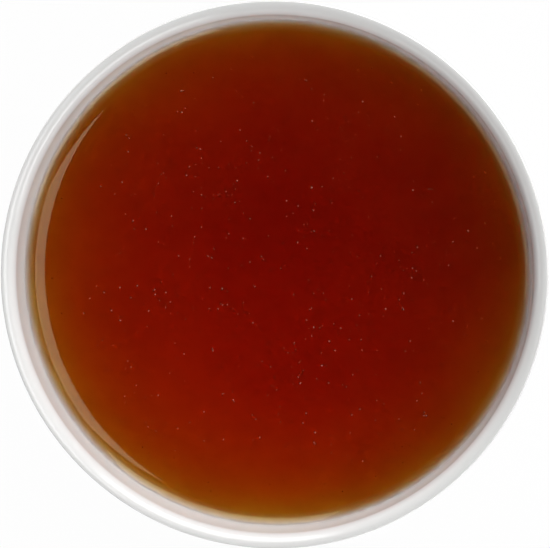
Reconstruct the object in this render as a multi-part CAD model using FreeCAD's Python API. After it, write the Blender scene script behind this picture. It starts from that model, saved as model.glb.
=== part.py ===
"""A round porcelain bowl on a turned foot ring, filled with clear rooibos tea.

Both pieces are turned about +Z. The origin is the middle of the face that the foot ring rests on, so the bowl
stands on the plane z = 0. Sizes are in millimetres. The belly and the well are superellipses, upright at the
lip and level on the axis. The tea is bounded by the well's own curve, so it fills the bowl exactly, and its
level surface climbs the wall in a meniscus.
"""

import FreeCAD
import Part
import math
import os

# The bowl
MOUTH_RADIUS = 52.5  # outside of the lip
BOWL_HEIGHT = 56.0  # table to the crest of the lip
LIP_WALL = 2.7  # wall just below the lip
LIP_OUTER_REACH = 0.25  # crest of the lip to its outside
LIP_OUTER_DROP = 0.9  # crest down to where the outside is upright
LIP_INNER_DROP = 2.8  # crest down to where the inside is upright
BASE_WALL = 4.2  # porcelain under the middle of the well
FULLNESS = 2.0  # superellipse exponent of the belly and the well: 2 is an ellipse, and more is squarer
CURVE_POINTS = 25  # points that each of those two curves passes through

# Its foot ring
FOOT_RADIUS = 24.5  # outside of the ring, at the table
FOOT_WALL = 3.2  # width of the ring, at the table
FOOT_DRAFT = 6.0  # lean of both sides of the ring, in degrees, so that it widens upwards
FOOT_RECESS = 3.8  # table to the middle of the hollow inside the ring
TABLE_ROUND = 0.8  # at the two edges by the table
NECK_ROUND = 2.2  # where the ring's outside runs into the belly
RECESS_ROUND = 1.0  # where the ring's inside runs into the hollow

# The tea
FREEBOARD = 11.5  # level surface to the crest of the lip
CAPILLARY_LENGTH = 2.6  # of hot tea, which sets how far the meniscus reaches
CONTACT_ANGLE = 25.0  # between the tea and the wall at the waterline, in degrees
LEVEL_SLOPE = 0.6  # slope in degrees below which the meniscus counts as level
MENISCUS_POINTS = 9  # points that its curve passes through
WATERLINE_ROUNDS = 12  # repeats that settle the height of the waterline

SAME_PLACE = 0.001  # points closer than this are one

UP = FreeCAD.Vector(0, 0, 1)


def at(radius, z):
    """A point of a half section, which lies in the XZ plane."""
    return FreeCAD.Vector(radius, 0, z)


WELL_RADIUS = MOUTH_RADIUS - LIP_WALL
TEA_LEVEL = BOWL_HEIGHT - FREEBOARD
BELLY_BOTTOM = at(0, FOOT_RECESS)
WELL_BOTTOM = at(0, FOOT_RECESS + BASE_WALL)
LIP_OUTSIDE = at(MOUTH_RADIUS, BOWL_HEIGHT - LIP_OUTER_DROP)
LIP_INSIDE = at(WELL_RADIUS, BOWL_HEIGHT - LIP_INNER_DROP)
LIP_CREST = at(MOUTH_RADIUS - LIP_OUTER_REACH, BOWL_HEIGHT)


def side_curve(bottom, top):
    """The superellipse quarter from its bottom on the axis up to its upright top."""
    points = []
    for i in range(CURVE_POINTS):
        turn = math.pi / 2 * i / (CURVE_POINTS - 1)
        out, down = (abs(part) ** (2 / FULLNESS) for part in (math.sin(turn), math.cos(turn)))
        points.append(at(top.x * out, top.z - (top.z - bottom.z) * down))
    points[-1] = top
    curve = Part.BSplineCurve()
    curve.interpolate(Points=points, InitialTangent=at(1, 0), FinalTangent=UP)
    return curve


BELLY = side_curve(BELLY_BOTTOM, LIP_OUTSIDE)
WELL = side_curve(WELL_BOTTOM, LIP_INSIDE)


def piece_of(curve, *ends):
    """The part of the curve between two points on it."""
    return curve.toShape(*sorted(curve.parameter(end) for end in ends))


def crossing(curve, start, end):
    """The place where a straight run crosses the curve."""
    point = curve.intersect(Part.LineSegment(start, end))[0]
    return at(point.X, point.Z)


def quarter_round(side):
    """The quarter ellipse from the lip's crest down to its upright side."""
    middle = at(LIP_CREST.x, side.z)
    apexes = sorted((side, LIP_CREST), key=middle.distanceToPoint, reverse=True)
    ellipse = Part.Ellipse(*apexes, middle)
    return ellipse.toBSpline(*sorted(ellipse.parameter(end) for end in apexes)).toShape()


def turned(*edges):
    """The solid that a closed half section sweeps out about the axis."""
    section = Part.Face(Part.Wire(Part.__sortEdges__(list(edges))))
    return section.revolve(FreeCAD.Vector(), UP, 360)


def is_swept_by(corner, edge):
    """Whether the edge is the circle that a corner of the half section sweeps out."""
    if edge.Degenerated or not edge.Closed:
        return False
    return all(vertex.Point.isEqual(corner, SAME_PLACE) for vertex in edge.Vertexes)


def rounded(solid, radius, *corners):
    """The solid with a round on each circle that the corners sweep out."""
    edges = [edge for edge in solid.Edges if any(is_swept_by(corner, edge) for corner in corners)]
    return solid.makeFillet(radius, edges).Solids[0]


def foot_corner(table_corner, lean):
    """Where a side of the foot ring, which leans outwards by `lean` degrees, runs into the belly."""
    above = at(table_corner.x + BOWL_HEIGHT * math.tan(math.radians(lean)), BOWL_HEIGHT)
    return crossing(BELLY, table_corner, above)


def make_bowl():
    ring_outside, ring_inside = at(FOOT_RADIUS, 0), at(FOOT_RADIUS - FOOT_WALL, 0)
    neck = foot_corner(ring_outside, FOOT_DRAFT)
    recess = foot_corner(ring_inside, -FOOT_DRAFT)
    bowl = turned(
        piece_of(WELL, WELL_BOTTOM, LIP_INSIDE),
        quarter_round(LIP_INSIDE),
        quarter_round(LIP_OUTSIDE),
        piece_of(BELLY, LIP_OUTSIDE, neck),
        Part.makeLine(neck, ring_outside),
        Part.makeLine(ring_outside, ring_inside),
        Part.makeLine(ring_inside, recess),
        piece_of(BELLY, recess, BELLY_BOTTOM),
        Part.makeLine(BELLY_BOTTOM, WELL_BOTTOM),
    )
    bowl = rounded(bowl, TABLE_ROUND, ring_outside, ring_inside)
    bowl = rounded(bowl, RECESS_ROUND, recess)
    return rounded(bowl, NECK_ROUND, neck)


def meniscus_height(slope):
    """Height of the place where the meniscus has this slope."""
    return TEA_LEVEL + 2 * CAPILLARY_LENGTH * math.sin(slope / 2)


def meniscus_run(slope):
    """How far in that place lies. Only the difference between two places has a meaning."""
    return CAPILLARY_LENGTH * (math.acosh(1 / math.sin(slope / 2)) - 2 * math.cos(slope / 2))


def waterline():
    """Where the tea ends on the wall, and the slope of its surface there in radians."""
    z = TEA_LEVEL
    for _ in range(WATERLINE_ROUNDS):
        place = crossing(WELL, at(0, z), at(MOUTH_RADIUS, z))
        wall = WELL.tangent(WELL.parameter(place))[0]
        slope = math.atan2(wall.z, wall.x) - math.radians(CONTACT_ANGLE)
        z = meniscus_height(slope)
    return place, slope


def meniscus_points(start, steepest):
    """Points of the surface from the waterline in to where it counts as level."""
    flattening = math.radians(LEVEL_SLOPE) / steepest
    slopes = [steepest * flattening ** (i / (MENISCUS_POINTS - 1)) for i in range(MENISCUS_POINTS)]
    wall = start.x + meniscus_run(steepest)
    inner = [at(wall - meniscus_run(slope), meniscus_height(slope)) for slope in slopes[1:]]
    inner[-1].z = TEA_LEVEL
    return [start] + inner


def make_tea():
    start, steepest = waterline()
    points = meniscus_points(start, steepest)
    meniscus = Part.BSplineCurve()
    down_the_slope = at(-math.cos(steepest), -math.sin(steepest))
    meniscus.interpolate(Points=points, InitialTangent=down_the_slope, FinalTangent=at(-1, 0))
    middle = at(0, TEA_LEVEL)
    return turned(
        piece_of(WELL, WELL_BOTTOM, start),
        meniscus.toShape(),
        Part.makeLine(points[-1], middle),
        Part.makeLine(middle, WELL_BOTTOM),
    )


def export(node, shape):
    shape.exportStep(os.path.join("parts", node + ".step"))


os.makedirs("parts", exist_ok=True)
export("bowl", make_bowl())
export("tea", make_tea())
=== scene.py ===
"""A white porcelain bowl of clear rooibos tea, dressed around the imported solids. Lengths are in metres."""

import bpy
import math
from mathutils import Matrix, Vector


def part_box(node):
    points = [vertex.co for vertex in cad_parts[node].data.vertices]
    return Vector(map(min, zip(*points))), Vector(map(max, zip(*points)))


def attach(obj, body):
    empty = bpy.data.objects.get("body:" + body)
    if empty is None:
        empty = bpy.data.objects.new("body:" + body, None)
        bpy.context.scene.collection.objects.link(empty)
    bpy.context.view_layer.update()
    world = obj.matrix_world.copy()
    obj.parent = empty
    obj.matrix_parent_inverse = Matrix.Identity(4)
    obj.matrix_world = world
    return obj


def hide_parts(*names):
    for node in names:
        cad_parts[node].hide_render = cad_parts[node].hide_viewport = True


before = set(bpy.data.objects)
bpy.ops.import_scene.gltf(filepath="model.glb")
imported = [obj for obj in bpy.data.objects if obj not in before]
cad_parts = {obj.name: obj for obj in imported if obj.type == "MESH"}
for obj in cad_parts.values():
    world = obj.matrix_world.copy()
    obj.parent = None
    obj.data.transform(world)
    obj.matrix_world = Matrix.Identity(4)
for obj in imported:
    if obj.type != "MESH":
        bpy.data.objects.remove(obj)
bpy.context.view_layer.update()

MM = 0.001

# The bowl, in the shape of its solid. The belly and the well are superellipses, upright at the lip.
MOUTH_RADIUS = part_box("bowl")[1].x
BOWL_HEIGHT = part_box("bowl")[1].z
LIP_WALL = 2.7 * MM
LIP_OUTER_REACH = 0.25 * MM
LIP_OUTER_DROP = 0.9 * MM
LIP_INNER_DROP = 2.8 * MM
BASE_WALL = 4.2 * MM
FULLNESS = 2.0
FOOT_RADIUS = 24.5 * MM
FOOT_WALL = 3.2 * MM
FOOT_DRAFT = math.radians(6.0)
FOOT_RECESS = 3.8 * MM
TABLE_ROUND = 0.8 * MM
NECK_ROUND = 2.2 * MM
RECESS_ROUND = 1.0 * MM

LIP_INNER_REACH = LIP_WALL - LIP_OUTER_REACH
LIP_CREST = MOUTH_RADIUS - LIP_OUTER_REACH
WELL_RADIUS = MOUTH_RADIUS - LIP_WALL
WELL_TOP = BOWL_HEIGHT - LIP_INNER_DROP
WELL_DEPTH = WELL_TOP - FOOT_RECESS - BASE_WALL
BELLY_TOP = BOWL_HEIGHT - LIP_OUTER_DROP
BELLY_DEPTH = BELLY_TOP - FOOT_RECESS

# The tea
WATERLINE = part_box("tea")[1].z
FREEBOARD = 11.5 * MM
TEA_LEVEL = BOWL_HEIGHT - FREEBOARD
CAPILLARY_LENGTH = 2.6 * MM
TEA_IN_WALL = 0.12 * MM  # the tea's mesh ends this far inside the porcelain, so that no gap shows

DUST_DENSITY = 150000.0
DUST_SMALLEST = 0.14 * MM
DUST_LARGEST = 0.4 * MM
DUST_FLOAT = 0.03 * MM  # how far the flakes' middles stand above the surface
DUST_SEED = 7

BOWL_SIDES = 400
TEA_SIDES = 720


# Trees of nodes


class Sock:
    """One output in a tree, with the arithmetic of Math nodes."""

    def __init__(self, maker, link):
        self.maker, self.link = maker, link

    def _math(self, operation, *values):
        return self.maker.node("ShaderNodeMath", dict(operation=operation), *values)

    def __add__(self, other):
        return self._math("ADD", self, other)

    def __radd__(self, other):
        return self._math("ADD", other, self)

    def __sub__(self, other):
        return self._math("SUBTRACT", self, other)

    def __rsub__(self, other):
        return self._math("SUBTRACT", other, self)

    def __mul__(self, other):
        return self._math("MULTIPLY", self, other)

    def __rmul__(self, other):
        return self._math("MULTIPLY", other, self)

    def __truediv__(self, other):
        return self._math("DIVIDE", self, other)

    def __pow__(self, other):
        return self._math("POWER", self, other)

    def __gt__(self, other):
        return self._math("GREATER_THAN", self, other)

    def __lt__(self, other):
        return self._math("LESS_THAN", self, other)

    def over(self, other):
        return self._math("MAXIMUM", self, other)

    def smooth(self, low, high):
        """0 below `low`, 1 above `high`, and a smooth step between them. With low > high it falls instead."""
        settings = dict(interpolation_type="SMOOTHSTEP")
        if low < high:
            return self.maker.node("ShaderNodeMapRange", settings, self, low, high, 0.0, 1.0)
        return self.maker.node("ShaderNodeMapRange", settings, self, high, low, 1.0, 0.0)


class Nodes:
    """Adds nodes to a tree."""

    def __init__(self, tree):
        self.tree = tree

    def node(self, kind, settings=None, *values, out=0, **named):
        """Adds a node from its settings and its sockets, in order or by name, and returns one output."""
        node = self.tree.nodes.new(kind)
        for key, value in (settings or {}).items():
            setattr(node, key, value)
        sockets = [socket for socket in node.inputs if socket.enabled]
        for socket, value in zip(sockets, values):
            self.fill(socket, value)
        for name, value in named.items():
            self.fill([socket for socket in sockets if socket.name == name.replace("_", " ")][0], value)
        outputs = [socket for socket in node.outputs if socket.enabled]
        return Sock(self, outputs[out]) if outputs else None

    def fill(self, socket, value):
        if isinstance(value, Sock):
            self.tree.links.new(value.link, socket)
        elif value is not None:
            socket.default_value = value

    def axes(self, vector):
        split = self.node("ShaderNodeSeparateXYZ", None, vector).link.node
        return [Sock(self, socket) for socket in split.outputs]

    def noise(self, vector, scale, detail=2.0, roughness=0.5):
        return self.node("ShaderNodeTexNoise", None, vector, Scale=scale, Detail=detail, Roughness=roughness)


class Shader(Nodes):
    """The tree of a material or of the world."""

    def __init__(self, owner):
        owner.use_nodes = True
        owner.node_tree.nodes.clear()
        super().__init__(owner.node_tree)

    def place(self):
        """Object coordinates."""
        return self.node("ShaderNodeTexCoord", out=3)

    def facing(self):
        """The surface's own normal."""
        return self.node("ShaderNodeTexCoord", out=1)

    def mix(self, factor, first, second):
        """A colour between two colours."""
        return self.node("ShaderNodeMix", dict(data_type="RGBA"), factor, first, second)


class Recipe(Nodes):
    """A Geometry Nodes tree with named inputs."""

    def __init__(self, name):
        super().__init__(bpy.data.node_groups.new(name, "GeometryNodeTree"))
        self.tree.interface.new_socket("Geometry", in_out="OUTPUT", socket_type="NodeSocketGeometry")
        self.names = {}
        self.start = self.tree.nodes.new("NodeGroupInput")
        self.end = self.tree.nodes.new("NodeGroupOutput")
        self.given = self.ask("Given", "Geometry")

    def ask(self, name, kind):
        """Adds a named input."""
        kind = "NodeSocket" + kind
        self.names[name] = self.tree.interface.new_socket(name, in_out="INPUT", socket_type=kind)
        return Sock(self, self.start.outputs[name])

    def finish(self, geometry):
        whole = self.node("GeometryNodeRealizeInstances", Geometry=geometry)
        smooth = self.node("GeometryNodeSetShadeSmooth", Geometry=whole)
        material = self.ask("Material", "Material")
        dressed = self.node("GeometryNodeSetMaterial", Geometry=smooth, Material=material)
        self.fill(self.end.inputs[0], dressed)

    def make(self, name, mesh, **values):
        """Runs the tree on a mesh and returns the result as a plain object."""
        given = bpy.data.objects.new(name + ".given", mesh)
        bpy.context.scene.collection.objects.link(given)
        modifier = given.modifiers.new(self.tree.name, "NODES")
        modifier.node_group = self.tree
        for key, value in values.items():
            modifier[self.names[key.replace("_", " ")].identifier] = value
        depsgraph = bpy.context.evaluated_depsgraph_get()
        made = bpy.data.meshes.new_from_object(given.evaluated_get(depsgraph), depsgraph=depsgraph)
        made.name = name
        bpy.data.objects.remove(given)
        piece = bpy.data.objects.new(name, made)
        bpy.context.scene.collection.objects.link(piece)
        return piece


# Half sections. A point is (radius, height).


def side_points(mouth, top, depth, start, end, steps):
    """Points of a side curve between two turns, where turn 0 is on the axis and a quarter turn is the top."""
    points = []
    for i in range(steps + 1):
        turn = start + (end - start) * i / steps
        out, down = (abs(part) ** (2 / FULLNESS) for part in (math.sin(turn), math.cos(turn)))
        points.append((mouth * out, top - depth * down))
    return points


def turn_at(share_out):
    """The turn at which a side curve has gone out by that share of its mouth."""
    return math.asin(share_out ** (FULLNESS / 2))


def well_radius_at(z):
    return WELL_RADIUS * (1 - ((WELL_TOP - z) / WELL_DEPTH) ** FULLNESS) ** (1 / FULLNESS)


def belly_point(radius):
    return radius, BELLY_TOP - BELLY_DEPTH * (1 - (radius / MOUTH_RADIUS) ** FULLNESS) ** (1 / FULLNESS)


def lip_points(steps=18):
    """The two quarter ellipses that meet at the crest, without their upright ends."""
    quarters = [math.pi / 2 * i / steps for i in range(1, steps)]
    turns = [(math.cos(a), math.sin(a)) for a in quarters]
    inner = [(LIP_CREST - LIP_INNER_REACH * c, WELL_TOP + LIP_INNER_DROP * s) for c, s in turns]
    outer = [(LIP_CREST + LIP_OUTER_REACH * s, BELLY_TOP + LIP_OUTER_DROP * c) for c, s in turns]
    return inner + [(LIP_CREST, BOWL_HEIGHT)] + outer


def rounded_corner(before, corner, after, radius, steps=8):
    """The arc of that radius which replaces the corner between two straight runs."""
    before, corner, after = Vector(before), Vector(corner), Vector(after)
    back, on = (before - corner).normalized(), (after - corner).normalized()
    half = back.angle(on) / 2
    middle = corner + (back + on).normalized() * radius / math.sin(half)
    first, last = corner + back * radius / math.tan(half), corner + on * radius / math.tan(half)
    arm = first - middle
    sweep = arm.angle_signed(last - middle)
    return [tuple(middle + Matrix.Rotation(-sweep * i / steps, 2) @ arm) for i in range(steps + 1)]


def foot_corner(foot_radius, widening):
    """Where a side of the foot ring runs into the belly."""
    z = 0.0
    for _ in range(20):
        z = belly_point(foot_radius + widening * z)[1]
    return foot_radius + widening * z, z


def bowl_section():
    """From the middle of the well, over the lip and down the belly and foot ring to the middle of
    the recess."""
    widening = math.tan(FOOT_DRAFT)
    ring_outside, ring_inside = (FOOT_RADIUS, 0.0), (FOOT_RADIUS - FOOT_WALL, 0.0)
    neck = foot_corner(ring_outside[0], widening)
    recess = foot_corner(ring_inside[0], -widening)
    above_neck, inside_recess = belly_point(neck[0] + NECK_ROUND), belly_point(recess[0] - RECESS_ROUND)
    belly_start = turn_at((above_neck[0] + 0.2 * MM) / MOUTH_RADIUS)
    recess_end = turn_at((inside_recess[0] - 0.2 * MM) / MOUTH_RADIUS)
    return (
        side_points(WELL_RADIUS, WELL_TOP, WELL_DEPTH, 0.0, math.pi / 2, 72)
        + lip_points()
        + side_points(MOUTH_RADIUS, BELLY_TOP, BELLY_DEPTH, math.pi / 2, belly_start, 48)
        + rounded_corner(above_neck, neck, ring_outside, NECK_ROUND)
        + rounded_corner(neck, ring_outside, ring_inside, TABLE_ROUND)
        + rounded_corner(ring_outside, ring_inside, recess, TABLE_ROUND)
        + rounded_corner(ring_inside, recess, inside_recess, RECESS_ROUND)
        + side_points(MOUTH_RADIUS, BELLY_TOP, BELLY_DEPTH, recess_end, 0.0, 14)
    )


def meniscus_rise(slope):
    return 2 * CAPILLARY_LENGTH * math.sin(slope / 2)


def meniscus_run(slope):
    return CAPILLARY_LENGTH * (math.acosh(1 / math.sin(slope / 2)) - 2 * math.cos(slope / 2))


WATERLINE_RADIUS = well_radius_at(WATERLINE)


def tea_section():
    """From the middle of the surface out to the waterline, and down the wall to the middle of the well."""
    steepest = 2 * math.asin((WATERLINE - TEA_LEVEL) / (2 * CAPILLARY_LENGTH))
    level = math.radians(0.25)
    steps = 44
    slopes = [level * (steepest / level) ** (i / steps) for i in range(steps + 1)]
    wall = WATERLINE_RADIUS + meniscus_run(steepest)
    rim = [(wall - meniscus_run(slope), TEA_LEVEL + meniscus_rise(slope)) for slope in slopes]
    disc = [(rim[0][0] * i / 6, rim[0][1]) for i in range(6)]
    edge = (WATERLINE_RADIUS + TEA_IN_WALL, WATERLINE + TEA_IN_WALL * math.tan(steepest))
    start = math.acos(((WELL_TOP - WATERLINE) / WELL_DEPTH) ** (FULLNESS / 2))
    side = side_points(WELL_RADIUS + TEA_IN_WALL, WELL_TOP, WELL_DEPTH + TEA_IN_WALL, start, 0.0, 60)
    return disc + rim + [edge] + side


# The recipes


def turning_recipe():
    """Sweeps a half section round the axis. Its X is the distance out from the hub, and its Y the depth."""
    recipe = Recipe("turning")
    section = recipe.node("GeometryNodeMeshToCurve", Mesh=recipe.given)
    sides, hub = recipe.ask("Sides", "Int"), recipe.ask("Hub", "Float")
    path = recipe.node("GeometryNodeCurvePrimitiveCircle", Resolution=sides, Radius=hub)
    swept = recipe.node("GeometryNodeCurveToMesh", Curve=path, Profile_Curve=section)
    closed = recipe.node("GeometryNodeMergeByDistance", Geometry=swept, Distance=0.001 * MM)
    recipe.finish(closed)
    return recipe


def turned_piece(recipe, name, section, sides, material):
    """A closed turned piece from the points of its half section, which starts and ends on the axis."""
    hub = MM
    mesh = bpy.data.meshes.new(name + ".section")
    edges = [(i, i + 1) for i in range(len(section) - 1)]
    mesh.from_pydata([(r - hub, -z, 0.0) for r, z in section], edges, [])
    return recipe.make(name, mesh, Sides=sides, Hub=hub, Material=material)


def dust_recipe():
    """Scatters flakes over the tea, most of them tiny, and thicker in some places than in others."""
    recipe = Recipe("leaf_dust")
    density, seed = recipe.ask("Density", "Float"), recipe.ask("Seed", "Int")
    smallest, largest = recipe.ask("Smallest", "Float"), recipe.ask("Largest", "Float")
    drift = recipe.noise(recipe.node("GeometryNodeInputPosition"), 55.0, detail=3.0)
    crowding = drift.smooth(0.35, 0.7) + 0.15
    points = recipe.node(
        "GeometryNodeDistributePointsOnFaces", None, Mesh=recipe.given, Density=density * crowding, Seed=seed
    )

    def chance(low, high, shift):
        settings = dict(data_type="FLOAT")
        return recipe.node("FunctionNodeRandomValue", settings, Min=low, Max=high, Seed=seed + shift)

    size = smallest + (largest - smallest) * chance(0.0, 1.0, 1) ** 3.0
    breadth, thickness = size * chance(0.35, 0.9, 2), size * chance(0.2, 0.5, 3)
    shape = recipe.node("ShaderNodeCombineXYZ", None, size, breadth, thickness)
    lean, roll, heading = chance(-0.4, 0.4, 4), chance(-0.4, 0.4, 5), chance(0.0, 6.3, 6)
    turn = recipe.node("ShaderNodeCombineXYZ", None, lean, roll, heading)
    flake = recipe.node("GeometryNodeMeshIcoSphere", Radius=0.5, Subdivisions=1)
    flakes = recipe.node(
        "GeometryNodeInstanceOnPoints", Points=points, Instance=flake, Rotation=turn, Scale=shape
    )
    recipe.finish(flakes)
    return recipe


def leaf_dust_on(material):
    """Leaf dust afloat on the level part of the tea."""
    around = 96
    reach = WATERLINE_RADIUS - 1.5 * CAPILLARY_LENGTH
    ring = [direction(360 * i / around, 90) * reach for i in range(around)]
    mesh = bpy.data.meshes.new("tea_level")
    mesh.from_pydata([(spot.x, spot.y, TEA_LEVEL + DUST_FLOAT) for spot in ring], [], [range(around)])
    return dust_recipe().make(
        "leaf_dust",
        mesh,
        Density=DUST_DENSITY,
        Seed=DUST_SEED,
        Smallest=DUST_SMALLEST,
        Largest=DUST_LARGEST,
        Material=material,
    )



# Materials


def new_material(name):
    material = bpy.data.materials.new(name)
    return material, Shader(material)


WET_IOR = 1.12
GLAZE_IOR = 1.5
GLAZE_ROUGHNESS = 0.16
WHITE_LOW = (0.735, 0.732, 0.723, 1)
WHITE_HIGH = (0.76, 0.757, 0.748, 1)


def glazed_porcelain():
    """White porcelain under a clear glaze, which hardly shines under tea. The ring's resting edge is bare."""
    material, tree = new_material("glazed_porcelain")
    place = tree.place()
    height = tree.axes(place)[2]
    drift = tree.noise(place, 45.0, detail=3.0)
    grit = tree.noise(place, 2600.0, detail=3.0, roughness=0.7)
    peel = tree.noise(place, 260.0)
    glazed = (height + (tree.noise(place, 160.0) - 0.5) * 0.0009).smooth(0.0006, 0.0010)
    clay = tree.mix(grit, (0.60, 0.55, 0.48, 1), (0.70, 0.66, 0.60, 1))
    colour = tree.mix(glazed, clay, tree.mix(drift, WHITE_LOW, WHITE_HIGH))
    under_tea = (tree.axes(tree.facing())[2] > 0.0) * (height < WATERLINE)
    relief = peel * glazed * 0.6 + grit * (1 - glazed)
    shader = tree.node(
        "ShaderNodeBsdfPrincipled",
        None,
        Base_Color=colour,
        Roughness=0.6 - drift * 0.1,
        IOR=WET_IOR,
        Normal=tree.node("ShaderNodeBump", None, Strength=0.5, Distance=0.02 * MM, Height=relief),
        Coat_Weight=glazed * (1 - under_tea),
        Coat_IOR=GLAZE_IOR,
        Coat_Roughness=GLAZE_ROUGHNESS,
    )
    tree.node("ShaderNodeOutputMaterial", None, shader)
    return material


# The tea's surface colours: partly the tea's own colour, partly painted shade that darkens it inward of the
# waterline.
TEA_TINT_AND_SHADE_LOW = (0.68, 0.38, 0.05, 1)
TEA_TINT_AND_SHADE_HIGH = (0.79, 0.62, 0.10, 1)
TEA_TINT = (0.972, 0.68, 0.0, 1)
TEA_DENSITY = 185.0
TEA_IOR = 1.38
TEA_CLARITY = 0.998
TEA_SHINE = (1.0, 0.85, 0.55, 1)


def clear_tea():
    """Clear tea. Its absorption makes it amber where it is thin and red-brown where it is deep. Its surface
    colour, white at the waterline and darker inward, is partly the tea's own colour and partly painted shade.
    """
    material, tree = new_material("clear_tea")
    place = tree.place()
    across, along, _ = tree.axes(place)
    out = (across * across + along * along) ** 0.5
    # Painted shade, partly the tea's colour: the surface colour is white at the waterline and darker inward.
    depth = out.smooth(WATERLINE_RADIUS - 0.2 * MM, WATERLINE_RADIUS - 2.4 * MM)
    haze = tree.noise(place, 42.0, detail=5.0, roughness=0.6).smooth(0.36, 0.64)
    colour = tree.mix(depth, (1, 1, 1, 1), tree.mix(haze, TEA_TINT_AND_SHADE_LOW, TEA_TINT_AND_SHADE_HIGH))
    shader = tree.node(
        "ShaderNodeBsdfPrincipled",
        None,
        Base_Color=colour,
        Roughness=0.0,
        IOR=TEA_IOR,
        Transmission_Weight=TEA_CLARITY,
        Specular_Tint=TEA_SHINE,
    )
    soak = tree.node("ShaderNodeVolumeAbsorption", None, Color=TEA_TINT, Density=TEA_DENSITY)
    tree.node("ShaderNodeOutputMaterial", None, shader, soak)
    return material


def leaf_dust():
    """Leaf too fine for the strainer, paler in some places than in others."""
    material, tree = new_material("leaf_dust")
    shade = tree.noise(tree.place(), 900.0)
    colour = tree.mix(shade.smooth(0.3, 0.7), (0.24, 0.08, 0.05, 1), (0.45, 0.21, 0.16, 1))
    shader = tree.node("ShaderNodeBsdfPrincipled", None, Base_Color=colour, Roughness=0.5)
    tree.node("ShaderNodeOutputMaterial", None, shader)
    return material


# The studio

LAMP_DISTANCE = 1.2
# Each softbox: azimuth and zenith in degrees, width and height in metres, and radiance.
SOFTBOXES = {
    "key": (5.0, 23.0, 0.9, 0.51, 4.1),
    "side": (79.0, 69.0, 1.2, 0.95, 5.1),
    "right_fill": (310.0, 74.0, 1.4, 0.45, 4.2),
    "left_fill": (210.0, 74.0, 1.4, 0.45, 1.8),
}

CEILING = 0.03
BACKDROP = 0.5
BACKDROP_TOP = 0.3  # the backdrop ends between these two heights on the unit sphere
BACKDROP_FADE = 0.2
FLOOR_SIZE = 4.0
FLOOR_GLOW = 0.97  # share of plain white in the floor as it is seen. The rest shows the bowl's shadow.

CAMERA_DISTANCE = 0.5
CAMERA_TILT = 5.0  # degrees from straight above
CAMERA_TOWARD = 36.0  # azimuth of that tilt in degrees
HALF_VIEW = MOUTH_RADIUS * 1.0022  # half the width that the view takes in
FRAMING = (0.06 * MM, 0.06 * MM)  # small shift that centres the mouth


def aim(obj, position, target, across):
    """Puts an object at a position, looking at the target, with its X axis along `across`."""
    back = (position - target).normalized()
    up = back.cross(across).normalized()
    side = up.cross(back)
    obj.matrix_world = Matrix.Translation(position) @ Matrix((side, up, back)).transposed().to_4x4()


def direction(azimuth, zenith):
    a, z = math.radians(azimuth), math.radians(zenith)
    return Vector((math.sin(z) * math.cos(a), math.sin(z) * math.sin(a), math.cos(z)))


def softbox(name, azimuth, zenith, width, height, radiance):
    """An even panel that faces the bowl."""
    lamp = bpy.data.lights.new(name, "AREA")
    lamp.shape, lamp.size, lamp.size_y = "RECTANGLE", width, height
    lamp.energy = radiance * math.pi * width * height
    obj = bpy.data.objects.new(name, lamp)
    bpy.context.scene.collection.objects.link(obj)
    obj.visible_camera = False
    middle = Vector((0, 0, BOWL_HEIGHT))
    across = Vector((0, 0, 1)).cross(direction(azimuth, zenith))
    aim(obj, middle + direction(azimuth, zenith) * LAMP_DISTANCE, middle, across)


def studio_world():
    """A pale backdrop all round, under a dark ceiling."""
    world = bpy.data.worlds.new("studio")
    bpy.context.scene.world = world
    tree = Shader(world)
    up = tree.axes(tree.node("ShaderNodeTexCoord", out=0))[2]
    level = CEILING + up.smooth(BACKDROP_TOP, BACKDROP_FADE) * (BACKDROP - CEILING)
    seen = tree.node("ShaderNodeLightPath")
    strength = level + seen * (1 - level)
    shader = tree.node("ShaderNodeBackground", None, (1, 1, 1, 1), strength)
    tree.node("ShaderNodeOutputWorld", None, shader)


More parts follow.
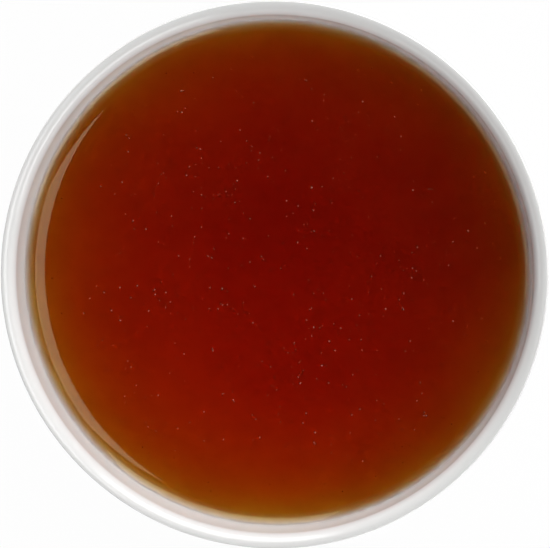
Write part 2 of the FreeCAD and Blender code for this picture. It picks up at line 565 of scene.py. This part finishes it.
def floor():
    """A white table top, which shows as plain white but for the bowl's shadow."""
    mesh = bpy.data.meshes.new("floor")
    corners = [(x * FLOOR_SIZE, y * FLOOR_SIZE, 0.0) for x, y in ((-1, -1), (1, -1), (1, 1), (-1, 1))]
    mesh.from_pydata(corners, [], [(0, 1, 2, 3)])
    obj = bpy.data.objects.new("floor", mesh)
    bpy.context.scene.collection.objects.link(obj)
    material, tree = new_material("floor_white")
    path = tree.node("ShaderNodeLightPath").link.node
    kinds = ("Camera", "Glossy", "Transmission")
    camera, glossy, passed = (Sock(tree, path.outputs["Is %s Ray" % kind]) for kind in kinds)
    matte = tree.node("ShaderNodeBsdfDiffuse", None, (0.8, 0.8, 0.8, 1))
    glow = tree.node("ShaderNodeEmission", None, (1, 1, 1, 1), 1.0)
    seen = camera.over(glossy).over(passed) * FLOOR_GLOW
    tree.node("ShaderNodeOutputMaterial", None, tree.node("ShaderNodeMixShader", None, seen, matte, glow))
    mesh.materials.append(material)


def camera():
    """Nearly straight above, with the mouth filling the view."""
    data = bpy.data.cameras.new("camera")
    data.sensor_width = 36.0
    data.lens = data.sensor_width / 2 * CAMERA_DISTANCE / HALF_VIEW
    data.clip_start = 0.01
    obj = bpy.data.objects.new("camera", data)
    bpy.context.scene.collection.objects.link(obj)
    sight = direction(CAMERA_TOWARD, CAMERA_TILT)
    # Perspective swells the near side of the mouth, which moves its middle that way.
    swell = Vector((sight.x, sight.y, 0)) * MOUTH_RADIUS**2 / CAMERA_DISTANCE
    middle = Vector((*FRAMING, BELLY_TOP)) + swell
    aim(obj, middle + sight * CAMERA_DISTANCE, middle, Vector((1, 0, 0)))
    bpy.context.scene.camera = obj


def save_sizes():
    def corners(box):
        return [[float(value) for value in corner] for corner in box]


def main():
    turning = turning_recipe()
    bowl = turned_piece(turning, "porcelain_bowl", bowl_section(), BOWL_SIDES, glazed_porcelain())
    tea = turned_piece(turning, "rooibos_tea", tea_section(), TEA_SIDES, clear_tea())
    dust = leaf_dust_on(leaf_dust())
    for piece, slot in ((bowl, "porcelain"), (tea, "tea"), (dust, "tea")):
        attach(piece, "root")
    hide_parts("bowl")
    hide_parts("tea")
    floor()
    studio_world()
    for name, panel in SOFTBOXES.items():
        softbox(name, *panel)
    camera()
    bpy.context.scene.view_settings.view_transform = "Standard"
    save_sizes()


main()
